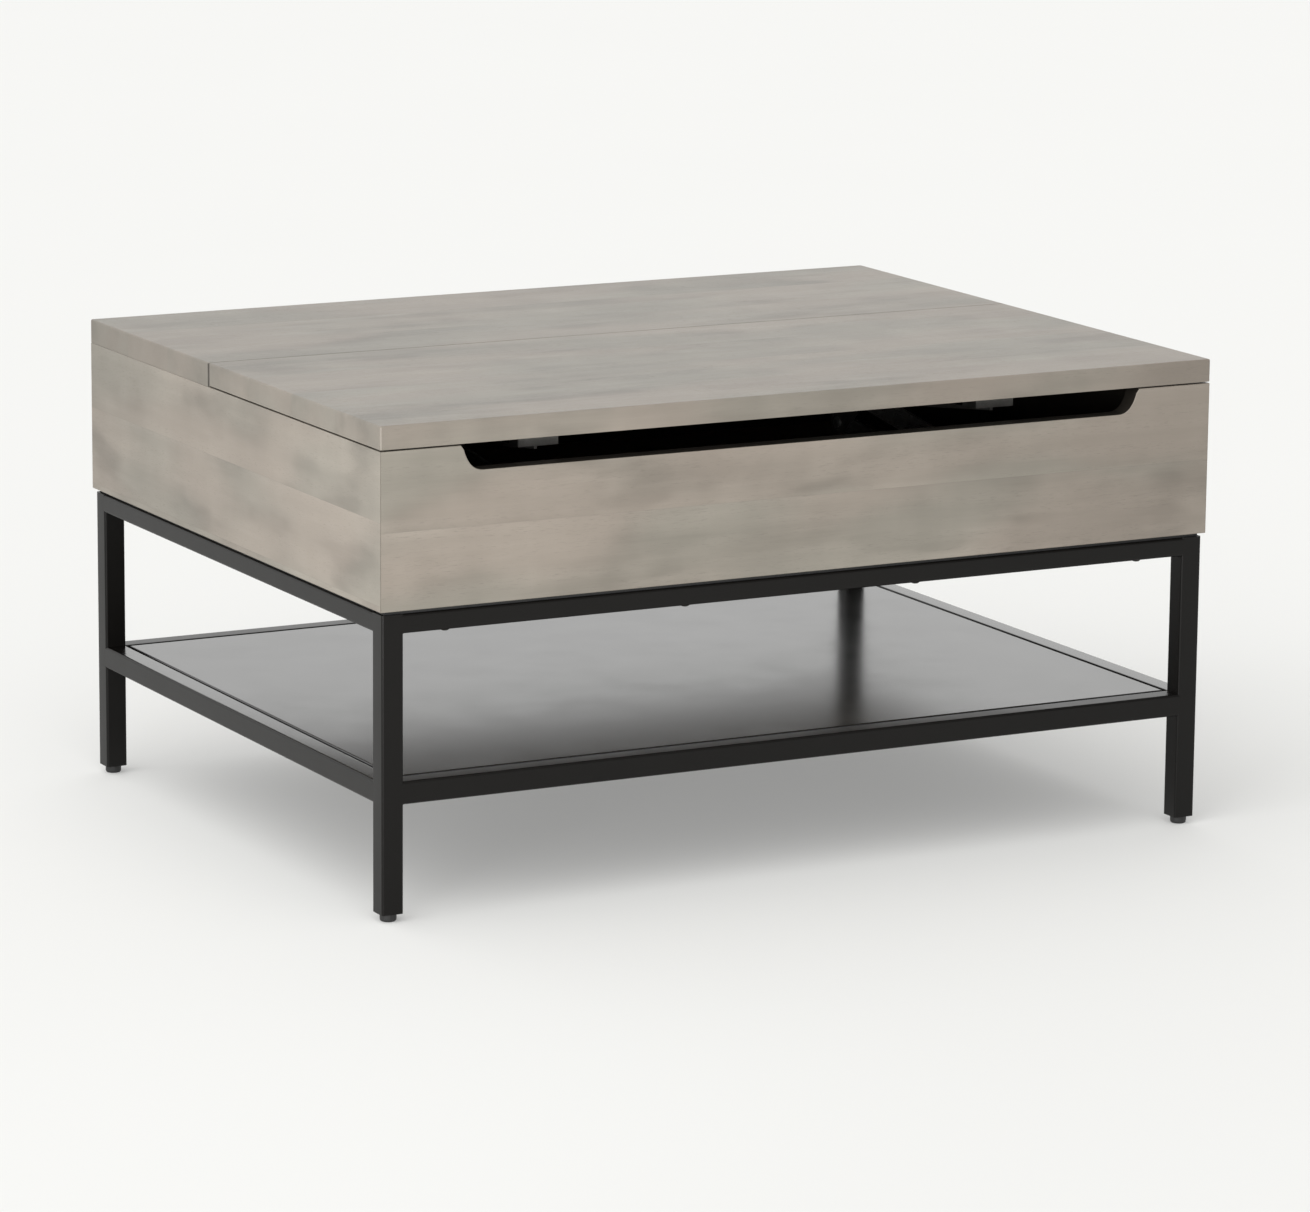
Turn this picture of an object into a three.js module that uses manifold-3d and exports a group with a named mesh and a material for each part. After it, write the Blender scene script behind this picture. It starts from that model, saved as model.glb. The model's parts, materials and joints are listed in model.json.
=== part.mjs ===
// A lift top coffee table. A frame of square steel tube with a low sheet metal shelf carries a
// wooden storage box with mitred corners. The rear of the top is fixed. The front part rises
// forward and up on two spring-assisted parallelogram linkages.
//
// Millimetres. +X runs along the table's length, -Y is the front with the finger slot and +Z is up.
// The origin is on the floor, under the middle of the table. Left is -X and right is +X.

import * as THREE from "three";
import { mergeVertices } from "three/addons/utils/BufferGeometryUtils.js";
import Module from "manifold-3d";

// ---------------------------------------------------------------- driving dimensions

const LENGTH = 900;
const DEPTH = 690;
const HEIGHT = 470;
const TOP_THICKNESS = 24;
const BOX_HEIGHT = 150;
const WALL = 20;
const BOTTOM_THICKNESS = 9;
const FRAME_INSET = 3;
const TUBE = 22;
const TUBE_WALL = 1.6;
const FOOT_HEIGHT = 8;
const FOOT_RIM_RADIUS = 8;
const FOOT_SOLE_RADIUS = 6.8;
const FOOT_BEVEL = 2;
const STUD_RADIUS = 4;
const STUD_ABOVE_PLUG = 5;
const SHELF_TOP = 134;
const SHELF_GROOVE = 2.5;
const SHELF_SHEET = 1.5;
const LEDGE_THICKNESS = 3;
const LEDGE_WIDTH = 14;

const SEAM_Y = 46;
const SEAM_GAP = 1.2;
const LIFT_GAP = 1.5;

const SLOT_DEPTH = 24;
const SLOT_TOP_HALF = 368;
const SLOT_FLAT_HALF = 344;
const SLOT_CORNER = 20;
const SLOT_SLANT = 2;
const SLOT_ROUNDNESS = 0.6;

// The rail under the fixed top's front edge, and the pads that the closed top rests on.
const SUPPORT_RAIL_WIDTH = 20;
const SUPPORT_RAIL_HEIGHT = 30;
const SUPPORT_RAIL_SETBACK = 4;
const BUMPER_RADIUS = 5;
const FRONT_BUMPER_X = 415;
const REAR_BUMPER_FROM_SEAM = 24;

// Linkage, as seen along the X axis: each point is [y, z] with the top closed.
const ARM_LENGTH = 230;
const ARM_REST = THREE.MathUtils.degToRad(8);
const MAIN_BASE = [-235, 366];
const FOLLOWER_OFFSET = [46, -38];
const SPRING_ARM = 35;
const SPRING_ARM_ANGLE = THREE.MathUtils.degToRad(-133.5);
const SPRING_ANCHOR_Y = -80;
const LINKAGE_X = 250;
const MECHANISM_FRONT = -262;
const BASE_REAR = -66;
const TOP_REAR = 40;
const BRACKET_SHEET = 3;
const ARM_SHEET = 4;
const ARM_GAP = 1;
const MAIN_ARM_RADIUS = 11;
const FOLLOWER_RADIUS = 10;
const EAR_RADIUS = 12;
const LEVER_RADIUS = 8;
const ANCHOR_LUG_RADIUS = 10;
const PIN_RADIUS = 4;
const PIN_HEAD_RADIUS = 7;
const PIN_HEAD_THICKNESS = 2.4;
const PIN_COLLAR_RADIUS = 6;
const PIN_SLACK = 0.2;
const PIN_CLEARANCE = 0.1;
const OPEN_PIVOT_CLEARANCE = 0.4;
const SPRING_RADIUS = 7;
const SPRING_X = 234.5;
const SPRING_POST_RADIUS = 2.5;
const SPRING_POST_REACH = 5.5;
const SPRING_WIRE_RADIUS = 1.2;
const SPRING_HOOK_LENGTH = 9;
const SPRING_SHOULDER = 2;
const CROSS_TUBE_RADIUS = 8;
const CROSS_TUBE_REACH = 50;
const BATTEN_WIDTH = 42;
const BATTEN_THICKNESS = 14;
const FLANGE_SHEET = 2.5;
const BASE_FLANGE_WIDTH = 40;
const BASE_FLANGE_SCREW_X = 22;
const BASE_FLANGE_SCREW_Y = [-240, -164, -88];
const BASE_WEB_HEIGHT = 17;
const TOP_FLANGE_OVERHANG = 6;
const TOP_LIP_HEIGHT = 9;
const TOP_FLANGE_SCREW_X = 13;
const TOP_FLANGE_SCREW_Y = [-236, -110, 16];

const FRAME_SCREW_X = [-378, -126, 126, 378];
const FRAME_SCREW_RADIUS = 2.5;
const FRAME_SCREW_BITE = 20;
const SCREW_HEAD_RADIUS = 4.8;
const SCREW_CROWN_RADIUS = 2.6;
const SCREW_HEAD_HEIGHT = 2.6;
const SCREW_HEAD_RIM = 0.9;
const SCREW_HOLE_RADIUS = 2.8;

const CLEARANCE = 0.3;
const FITTED_GAP = 0.1;
const ROUND = 16;
const ARC_STEPS = 12;

// ---------------------------------------------------------------- derived sizes

const HALF_LENGTH = LENGTH / 2;
const HALF_DEPTH = DEPTH / 2;
const BOX_TOP = HEIGHT - TOP_THICKNESS;
const BOX_BASE = BOX_TOP - BOX_HEIGHT;
const LID_UNDERSIDE = BOX_TOP + LIFT_GAP;
const RAIL_X = HALF_LENGTH - FRAME_INSET - TUBE / 2;
const RAIL_Y = HALF_DEPTH - FRAME_INSET - TUBE / 2;
const INNER_X = RAIL_X - TUBE / 2;
const INNER_Y = RAIL_Y - TUBE / 2;
const FLOOR_TOP = BOX_BASE + BOTTOM_THICKNESS;
const CAVITY_X = HALF_LENGTH - WALL;
const CAVITY_Y = HALF_DEPTH - WALL;
const SIDES = { left: -1, right: 1 };
const ENDS = { front: -1, rear: 1 };

const polar = ([y, z], reach, angle) => [y + reach * Math.cos(angle), z + reach * Math.sin(angle)];
const MAIN_TOP = polar(MAIN_BASE, ARM_LENGTH, ARM_REST);
const FOLLOWER_BASE = [MAIN_BASE[0] + FOLLOWER_OFFSET[0], MAIN_BASE[1] + FOLLOWER_OFFSET[1]];
const FOLLOWER_TOP = polar(FOLLOWER_BASE, ARM_LENGTH, ARM_REST);
const SPRING_HOOK = polar(MAIN_BASE, SPRING_ARM, SPRING_ARM_ANGLE);
const SPRING_ANCHOR = [SPRING_ANCHOR_Y, SPRING_HOOK[1]];
const CROSS_TUBE = polar(MAIN_BASE, CROSS_TUBE_REACH, ARM_REST);

// Distances from the table's middle to the faces of each linkage layer.
const WEB = [LINKAGE_X - BRACKET_SHEET / 2, LINKAGE_X + BRACKET_SHEET / 2];
const MAIN_LAYER = [WEB[0] - ARM_GAP - ARM_SHEET, WEB[0] - ARM_GAP];
const FOLLOWER_LAYER = [WEB[1] + ARM_GAP, WEB[1] + ARM_GAP + ARM_SHEET];

// ---------------------------------------------------------------- materials

const MATERIALS = {
  grey_wood: { color: 0xa79f93, roughness: 0.55, metalness: 0 },
  pale_board: { color: 0xb9a88c, roughness: 0.7, metalness: 0 },
  black_steel: { color: 0x1d1c1b, roughness: 0.4, metalness: 0.2 },
  zinc_steel: { color: 0xb4b5b3, roughness: 0.35, metalness: 0.9 },
  spring_steel: { color: 0x8c8d8e, roughness: 0.3, metalness: 0.9 },
  black_plastic: { color: 0x161616, roughness: 0.5, metalness: 0 },
  black_rubber: { color: 0x1a1a1a, roughness: 0.85, metalness: 0 },
};

const table = new THREE.Group();

/** Adds one piece to the table as a mesh with a material of its own. */
function add(name, material, geometry) {
  const mesh = new THREE.Mesh(geometry, new THREE.MeshStandardMaterial(MATERIALS[material]));
  mesh.name = name;
  table.add(mesh);
}

// ---------------------------------------------------------------- shapes

const wasm = await Module();
wasm.setup();

/** A closed geometry as a solid that can be joined and cut. */
function solid(geometry) {
  const bare = geometry.clone();
  bare.deleteAttribute("normal");
  bare.deleteAttribute("uv");
  const merged = mergeVertices(bare, 1e-4);
  const mesh = new wasm.Mesh({
    numProp: 3,
    vertProperties: new Float32Array(merged.attributes.position.array),
    triVerts: new Uint32Array(merged.index.array),
  });
  return new wasm.Manifold(mesh);
}

/** The geometry of the parts joined together, with the cutters taken away. */
function carve(parts, cutters = []) {
  let body = parts.map(solid).reduce((a, b) => a.add(b));
  for (const cutter of cutters) {
    body = body.subtract(solid(cutter));
  }
  const mesh = body.getMesh();
  const geometry = new THREE.BufferGeometry();
  geometry.setAttribute("position", new THREE.BufferAttribute(mesh.vertProperties, 3));
  geometry.setIndex(new THREE.BufferAttribute(mesh.triVerts, 1));
  geometry.computeVertexNormals();
  return geometry;
}

/** A rectangular block between two values along each axis. */
function block([x0, x1], [y0, y1], [z0, z1]) {
  const box = new THREE.BoxGeometry(Math.abs(x1 - x0), Math.abs(y1 - y0), Math.abs(z1 - z0));
  return box.translate((x0 + x1) / 2, (y0 + y1) / 2, (z0 + z1) / 2);
}

/** An outline's extrusion along +Z of its own plane, before it is turned into place. */
function extrude(outline, depth) {
  return new THREE.ExtrudeGeometry(outline, { depth, bevelEnabled: false, curveSegments: ARC_STEPS });
}

/** A plate whose outline is drawn in Y and Z, between two values of X. */
function plateX(outline, [x0, x1]) {
  const plate = extrude(outline, Math.abs(x1 - x0));
  const turn = new THREE.Matrix4().makeBasis(
    new THREE.Vector3(0, 1, 0),
    new THREE.Vector3(0, 0, 1),
    new THREE.Vector3(1, 0, 0),
  );
  return plate.applyMatrix4(turn).translate(Math.min(x0, x1), 0, 0);
}

/** A plate whose outline is drawn in X and Z, between two values of Y. */
function plateY(outline, [y0, y1]) {
  return extrude(outline, y1 - y0).rotateX(Math.PI / 2).translate(0, y1, 0);
}

/** A plate whose outline is drawn in X and Y, between two values of Z. */
function plateZ(outline, [z0, z1]) {
  return extrude(outline, z1 - z0).translate(0, 0, z0);
}

/** A straight-sided outline through the given points. */
function polygon(points) {
  return new THREE.Shape(points.map(([u, v]) => new THREE.Vector2(u, v)));
}

/** An outline with two round ends about the given points. */
function capsule([u0, v0], [u1, v1], radius) {
  const angle = Math.atan2(v1 - v0, u1 - u0);
  const outline = new THREE.Shape();
  outline.absarc(u1, v1, radius, angle - Math.PI / 2, angle + Math.PI / 2);
  outline.absarc(u0, v0, radius, angle + Math.PI / 2, angle + 1.5 * Math.PI);
  outline.closePath();
  return outline;
}

/** A round bar along X through [y, z], between two values of X. */
function barX([y, z], radius, [x0, x1]) {
  const bar = new THREE.CylinderGeometry(radius, radius, Math.abs(x1 - x0), ROUND);
  return bar.rotateZ(Math.PI / 2).translate((x0 + x1) / 2, y, z);
}

/** A round bar along Z at [x, y], between two heights. */
function barZ([x, y], radius, [z0, z1]) {
  const bar = new THREE.CylinderGeometry(radius, radius, z1 - z0, ROUND);
  return bar.rotateX(Math.PI / 2).translate(x, y, (z0 + z1) / 2);
}

/** A piece turned about an upright axis at [x, y], from [radius, z] points, lowest first. */
function turnedZ(profile, [x, y]) {
  const points = profile.map(([radius, z]) => new THREE.Vector2(radius, z));
  return new THREE.LatheGeometry(points, ROUND).rotateX(Math.PI / 2).translate(x, y, 0);
}

/** Two distances from the middle, put on one side of the table, in rising order. */
function onSide(side, [near, far]) {
  return side > 0 ? [near, far] : [-far, -near];
}

/** A length of square tube, open at both ends, along "x", "y" or "z". */
function squareTube(axis, centre, [start, end]) {
  const half = TUBE / 2;
  const bore = half - TUBE_WALL;
  const outline = polygon([[-half, -half], [half, -half], [half, half], [-half, half]]);
  outline.holes.push(polygon([[-bore, -bore], [-bore, bore], [bore, bore], [bore, -bore]]));
  if (axis === "x") {
    return plateX(outline, [start, end]).translate(0, centre[0], centre[1]);
  }
  if (axis === "y") {
    return plateY(outline, [start, end]).translate(centre[0], 0, centre[1]);
  }
  return plateZ(outline, [start, end]).translate(centre[0], centre[1], 0);
}

// ---------------------------------------------------------------- steel frame

/** Four legs with the plug and the levelling foot in the lower end of each. */
function addLegs() {
  for (const [end, ySign] of Object.entries(ENDS)) {
    for (const [side, xSign] of Object.entries(SIDES)) {
      const at = [xSign * RAIL_X, ySign * RAIL_Y];
      add(`leg_${end}_${side}`, "black_steel", squareTube("z", at, [FOOT_HEIGHT, BOX_BASE]));
      add(`leg_plug_${end}_${side}`, "black_plastic", legPlug(at));
      add(`levelling_foot_${end}_${side}`, "black_plastic", levellingFoot(at));
    }
  }
}

/** A square plug that fills the tube and guides the foot's stud. */
function legPlug([x, y]) {
  const half = TUBE / 2 - TUBE_WALL - CLEARANCE / 2;
  const heights = [FOOT_HEIGHT, FOOT_HEIGHT + TUBE];
  const plug = block([x - half, x + half], [y - half, y + half], heights);
  const bore = barZ([x, y], STUD_RADIUS + CLEARANCE, [heights[0] - 1, heights[1] + 1]);
  return carve([plug], [bore]);
}

/** A glide with a bevelled sole and the stud that screws into the plug. */
function levellingFoot(at) {
  const shoulder = FOOT_HEIGHT - CLEARANCE;
  const studTop = FOOT_HEIGHT + TUBE + STUD_ABOVE_PLUG;
  const profile = [
    [0, 0],
    [FOOT_SOLE_RADIUS, 0],
    [FOOT_RIM_RADIUS, FOOT_BEVEL],
    [FOOT_RIM_RADIUS, shoulder],
    [STUD_RADIUS, shoulder],
    [STUD_RADIUS, studTop],
    [0, studTop],
  ];
  return turnedZ(profile, at);
}

/** Rails between the legs: a ring under the box and a lower ring round the shelf. */
function addRails() {
  const rings = { top_rail: BOX_BASE - TUBE / 2, shelf_rail: SHELF_TOP - TUBE / 2 };
  for (const [ring, z] of Object.entries(rings)) {
    for (const [end, sign] of Object.entries(ENDS)) {
      const rail = squareTube("x", [sign * RAIL_Y, z], [-INNER_X, INNER_X]);
      const drilled = ring === "top_rail" && end === "front";
      add(`${ring}_${end}`, "black_steel", drilled ? carve([rail], frameScrewHoles()) : rail);
    }
    for (const [side, sign] of Object.entries(SIDES)) {
      add(`${ring}_${side}`, "black_steel", squareTube("y", [sign * RAIL_X, z], [-INNER_Y, INNER_Y]));
    }
  }
}

/** The bores that the frame screws take up through the front rail into the front panel. */
function frameScrewHoles() {
  const heights = [BOX_BASE - TUBE - 1, BOX_BASE + FRAME_SCREW_BITE + 1];
  return FRAME_SCREW_X.map((x) => barZ([x, -RAIL_Y], SCREW_HOLE_RADIUS, heights));
}

/** Button head screws that hold the box down on the frame. */
function addFrameScrews() {
  const seat = BOX_BASE - TUBE - FITTED_GAP;
  const crown = seat - SCREW_HEAD_HEIGHT;
  const tip = BOX_BASE + FRAME_SCREW_BITE;
  const profile = [
    [0, crown],
    [SCREW_CROWN_RADIUS, crown],
    [SCREW_HEAD_RADIUS, seat - SCREW_HEAD_RIM],
    [SCREW_HEAD_RADIUS, seat],
    [FRAME_SCREW_RADIUS, seat],
    [FRAME_SCREW_RADIUS, tip],
    [0, tip],
  ];
  FRAME_SCREW_X.forEach((x, i) => {
    add(`frame_screw_${i + 1}`, "black_steel", turnedZ(profile, [x, -RAIL_Y]));
  });
}

/** The shelf is a sheet pan, turned down all round, on two ledges inside the lower rails. */
function addShelf() {
  const x = INNER_X - SHELF_GROOVE;
  const y = INNER_Y - SHELF_GROOVE;
  const base = SHELF_TOP - TUBE;
  const hem = base + LEDGE_THICKNESS;
  const pan = block([-x, x], [-y, y], [hem, SHELF_TOP]);
  const hollowX = x - SHELF_SHEET;
  const hollowY = y - SHELF_SHEET;
  const hollow = block([-hollowX, hollowX], [-hollowY, hollowY], [hem - 1, SHELF_TOP - SHELF_SHEET]);
  add("shelf_panel", "black_steel", carve([pan], [hollow]));
  for (const [end, sign] of Object.entries(ENDS)) {
    const edge = sign * INNER_Y;
    const across = [edge, edge - sign * LEDGE_WIDTH].sort((a, b) => a - b);
    add(`shelf_ledge_${end}`, "black_steel", block([-x, x], across, [base, hem]));
  }
}

// ---------------------------------------------------------------- wooden box

/** The outline, in X and Z, of the finger slot, open at the top edge of the front panel. */
function slotOutline() {
  const above = BOX_TOP + 1;
  const low = BOX_TOP - SLOT_DEPTH;
  const outline = new THREE.Shape();
  const side = SLOT_TOP_HALF - SLOT_SLANT;
  const pull = SLOT_FLAT_HALF + SLOT_CORNER * SLOT_ROUNDNESS;
  outline.moveTo(-SLOT_TOP_HALF, above);
  outline.lineTo(-side, low + SLOT_CORNER);
  outline.quadraticCurveTo(-pull, low, -SLOT_FLAT_HALF, low);
  outline.lineTo(SLOT_FLAT_HALF, low);
  outline.quadraticCurveTo(pull, low, side, low + SLOT_CORNER);
  outline.lineTo(SLOT_TOP_HALF, above);
  outline.closePath();
  return outline;
}

/** The plan of a wall with mitred ends: outer half length, half length inside, and its two faces. */
function mitred(outer, inner, [outerFace, innerFace]) {
  const a = outer - FITTED_GAP;
  const b = inner - FITTED_GAP;
  return [[-a, outerFace], [a, outerFace], [b, innerFace], [-b, innerFace]];
}

/** Four mitred walls, the front one with its finger slot. */
function addWalls() {
  const heights = [BOX_BASE, BOX_TOP];
  for (const [end, sign] of Object.entries(ENDS)) {
    const plan = mitred(HALF_LENGTH, CAVITY_X, [sign * HALF_DEPTH, sign * CAVITY_Y]);
    const wall = plateZ(polygon(plan), heights);
    const slot = plateY(slotOutline(), [-HALF_DEPTH - 1, -CAVITY_Y + 1]);
    const panel = end === "front" ? carve([wall], [slot, ...frameScrewHoles()]) : wall;
    add(`${end}_panel`, "grey_wood", panel);
  }
  for (const [side, sign] of Object.entries(SIDES)) {
    const plan = mitred(HALF_DEPTH, CAVITY_Y, [sign * HALF_LENGTH, sign * CAVITY_X]);
    add(`${side}_panel`, "grey_wood", plateZ(polygon(plan.map(([u, v]) => [v, u])), heights));
  }
}

/** The box's floor, the fixed rear top with the rail under its edge, and the lifting top. */
function addBoards() {
  const x = CAVITY_X - CLEARANCE;
  const y = CAVITY_Y - CLEARANCE;
  const across = [-HALF_LENGTH, HALF_LENGTH];
  const seam = SEAM_GAP / 2;
  add("bottom_panel", "pale_board", block([-x, x], [-y, y], [BOX_BASE, FLOOR_TOP]));
  add("fixed_top", "grey_wood", block(across, [SEAM_Y + seam, HALF_DEPTH], [BOX_TOP, HEIGHT]));
  add("lift_top", "grey_wood", block(across, [-HALF_DEPTH, SEAM_Y - seam], [LID_UNDERSIDE, HEIGHT]));
  const railFront = SEAM_Y + SUPPORT_RAIL_SETBACK;
  const railY = [railFront, railFront + SUPPORT_RAIL_WIDTH];
  add("support_rail", "grey_wood", block([-x, x], railY, [BOX_TOP - SUPPORT_RAIL_HEIGHT, BOX_TOP]));
}

/** Thin rubber pads on the box's top edge, which the closed top rests on. */
function addBumpers() {
  const places = {
    front: [FRONT_BUMPER_X, -HALF_DEPTH + WALL / 2],
    rear: [HALF_LENGTH - WALL / 2, SEAM_Y - REAR_BUMPER_FROM_SEAM],
  };
  for (const [end, [x, y]] of Object.entries(places)) {
    for (const [side, sign] of Object.entries(SIDES)) {
      const pad = barZ([sign * x, y], BUMPER_RADIUS, [BOX_TOP, LID_UNDERSIDE - FITTED_GAP]);
      add(`bumper_${end}_${side}`, "black_rubber", pad);
    }
  }
}

// ---------------------------------------------------------------- lift mechanism

const HOLE_RADIUS = PIN_RADIUS + PIN_CLEARANCE;
const THROUGH_LAYERS = [LINKAGE_X - 10, LINKAGE_X + 12];

/** The cutter for one pivot's hole, through every layer of a linkage. */
function pivotHole(side, at, radius = HOLE_RADIUS) {
  return barX(at, radius, onSide(side, THROUGH_LAYERS));
}

/** The bracket on the box's floor, with the ears of both lower pivots and the spring's anchor. */
function baseBracket(side) {
  const web = onSide(side, WEB);
  const foot = FLOOR_TOP + BASE_WEB_HEIGHT;
  const strip = polygon([
    [MECHANISM_FRONT, FLOOR_TOP],
    [BASE_REAR, FLOOR_TOP],
    [BASE_REAR, foot],
    [MECHANISM_FRONT, foot],
  ]);
  const [ay, az] = MAIN_BASE;
  const [by, bz] = FOLLOWER_BASE;
  const cheek = polygon([
    [MECHANISM_FRONT, FLOOR_TOP],
    [by + EAR_RADIUS, FLOOR_TOP],
    [by + EAR_RADIUS, bz],
    [ay, az],
    [ay - EAR_RADIUS, az],
    [MECHANISM_FRONT, foot],
  ]);
  const lugFoot = [SPRING_ANCHOR[0], FLOOR_TOP + ANCHOR_LUG_RADIUS + FLANGE_SHEET];
  const flangeX = onSide(side, [WEB[0], WEB[0] + BASE_FLANGE_WIDTH]);
  const flange = block(flangeX, [MECHANISM_FRONT, BASE_REAR], [FLOOR_TOP, FLOOR_TOP + FLANGE_SHEET]);
  const post = barX(SPRING_ANCHOR, SPRING_POST_RADIUS, onSide(side, [SPRING_X - SPRING_POST_REACH, WEB[1]]));
  const holeX = side * (WEB[1] + BASE_FLANGE_SCREW_X);
  const screwHoles = BASE_FLANGE_SCREW_Y.map((y) =>
    barZ([holeX, y], SCREW_HOLE_RADIUS, [FLOOR_TOP - 1, FLOOR_TOP + FLANGE_SHEET + 1]),
  );
  const pinHoles = [MAIN_BASE, FOLLOWER_BASE].map((at) => pivotHole(side, at));
  const plates = [
    plateX(strip, web),
    plateX(cheek, web),
    plateX(capsule(MAIN_BASE, FOLLOWER_BASE, EAR_RADIUS), web),
    plateX(capsule(SPRING_ANCHOR, lugFoot, ANCHOR_LUG_RADIUS), web),
  ];
  return carve([...plates, flange, post], [...screwHoles, ...pinHoles]);
}

/** The bracket under the top: a flange on the batten and a web down to both upper pivots. */
function topBracket(side) {
  const web = onSide(side, WEB);
  const seat = LID_UNDERSIDE - BATTEN_THICKNESS;
  const [cy, cz] = MAIN_TOP;
  const [dy, dz] = FOLLOWER_TOP;
  const cheek = polygon([
    [MECHANISM_FRONT, seat],
    [MECHANISM_FRONT, seat - 13],
    [cy - 8, cz - 9],
    [cy, cz],
    [dy, dz],
    [dy + EAR_RADIUS, dz],
    [TOP_REAR, seat],
  ]);
  const flangeX = onSide(side, [LINKAGE_X - BATTEN_WIDTH / 2, LINKAGE_X + BATTEN_WIDTH / 2]);
  const front = MECHANISM_FRONT - TOP_FLANGE_OVERHANG;
  const flange = block(flangeX, [front, TOP_REAR], [seat - FLANGE_SHEET, seat]);
  const lip = block(flangeX, [front, front + FLANGE_SHEET], [seat - TOP_LIP_HEIGHT, seat]);
  const lightening = plateX(capsule([-205, seat - 12], [-75, seat - 17], 5), onSide(side, THROUGH_LAYERS));
  const pinHoles = [MAIN_TOP, FOLLOWER_TOP].map((at) => pivotHole(side, at));
  const screwHoles = TOP_FLANGE_SCREW_Y.flatMap((y) =>
    [-TOP_FLANGE_SCREW_X, TOP_FLANGE_SCREW_X].map((dx) =>
      barZ([side * LINKAGE_X + dx, y], SCREW_HOLE_RADIUS, [seat - FLANGE_SHEET - 1, seat + 1]),
    ),
  );
  const plates = [plateX(cheek, web), plateX(capsule(MAIN_TOP, FOLLOWER_TOP, EAR_RADIUS), web)];
  return carve([...plates, flange, lip], [lightening, ...pinHoles, ...screwHoles]);
}

/** The sprung arm: a flat bar with a short lever and the post that the spring hooks on. */
function mainArm(side) {
  const layer = onSide(side, MAIN_LAYER);
  const bar = plateX(capsule(MAIN_BASE, MAIN_TOP, MAIN_ARM_RADIUS), layer);
  const lever = plateX(capsule(MAIN_BASE, SPRING_HOOK, LEVER_RADIUS), layer);
  const postX = onSide(side, [SPRING_X - SPRING_POST_REACH, MAIN_LAYER[1]]);
  const post = barX(SPRING_HOOK, SPRING_POST_RADIUS, postX);
  const holes = [MAIN_BASE, MAIN_TOP].map((at) => pivotHole(side, at));
  return carve([bar, lever, post], holes);
}

/** The plain arm. Its upper hole is loose, because the linkage is closed there. */
function followerArm(side) {
  const bar = plateX(capsule(FOLLOWER_BASE, FOLLOWER_TOP, FOLLOWER_RADIUS), onSide(side, FOLLOWER_LAYER));
  const lower = pivotHole(side, FOLLOWER_BASE);
  const upper = pivotHole(side, FOLLOWER_TOP, PIN_RADIUS + OPEN_PIVOT_CLEARANCE);
  return carve([bar], [lower, upper]);
}

/** A riveted pin through a bracket web and an arm, with a collar that keeps them apart. */
function pivotPin(side, at, layer) {
  const outer = [Math.min(WEB[0], layer[0]), Math.max(WEB[1], layer[1])];
  const gapMiddle = layer[0] < WEB[0] ? WEB[0] - ARM_GAP / 2 : WEB[1] + ARM_GAP / 2;
  const near = [outer[0] - PIN_SLACK - PIN_HEAD_THICKNESS, outer[0] - PIN_SLACK];
  const far = [outer[1] + PIN_SLACK, outer[1] + PIN_SLACK + PIN_HEAD_THICKNESS];
  const shank = barX(at, PIN_RADIUS, onSide(side, [near[0], far[1]]));
  const collarX = onSide(side, [gapMiddle - PIN_SLACK, gapMiddle + PIN_SLACK]);
  const collar = barX(at, PIN_COLLAR_RADIUS, collarX);
  const heads = [near, far].map((span) => barX(at, PIN_HEAD_RADIUS, onSide(side, span)));
  return carve([shank, collar, ...heads]);
}

/** A plain solid of the extension spring's outer size, between its two posts. */
function liftSpring(side) {
  const hook = SPRING_POST_RADIUS + CLEARANCE;
  const [y0, z] = [SPRING_HOOK[0] + hook, SPRING_HOOK[1]];
  const y1 = SPRING_ANCHOR[0] - hook;
  const coil0 = y0 + SPRING_HOOK_LENGTH;
  const coil1 = y1 - SPRING_HOOK_LENGTH;
  const profile = [
    [0, y0],
    [SPRING_WIRE_RADIUS, y0],
    [SPRING_WIRE_RADIUS, coil0],
    [SPRING_RADIUS, coil0 + SPRING_SHOULDER],
    [SPRING_RADIUS, coil1 - SPRING_SHOULDER],
    [SPRING_WIRE_RADIUS, coil1],
    [SPRING_WIRE_RADIUS, y1],
    [0, y1],
  ];
  const points = profile.map(([radius, y]) => new THREE.Vector2(radius, y));
  return new THREE.LatheGeometry(points, ROUND).translate(side * SPRING_X, 0, z);
}

/** The tube that makes both sprung arms move as one. */
function crossTube() {
  const half = MAIN_LAYER[0] - CLEARANCE;
  const outer = barX(CROSS_TUBE, CROSS_TUBE_RADIUS, [-half, half]);
  const bore = barX(CROSS_TUBE, CROSS_TUBE_RADIUS - TUBE_WALL, [-half - 1, half + 1]);
  return carve([outer], [bore]);
}

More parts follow.
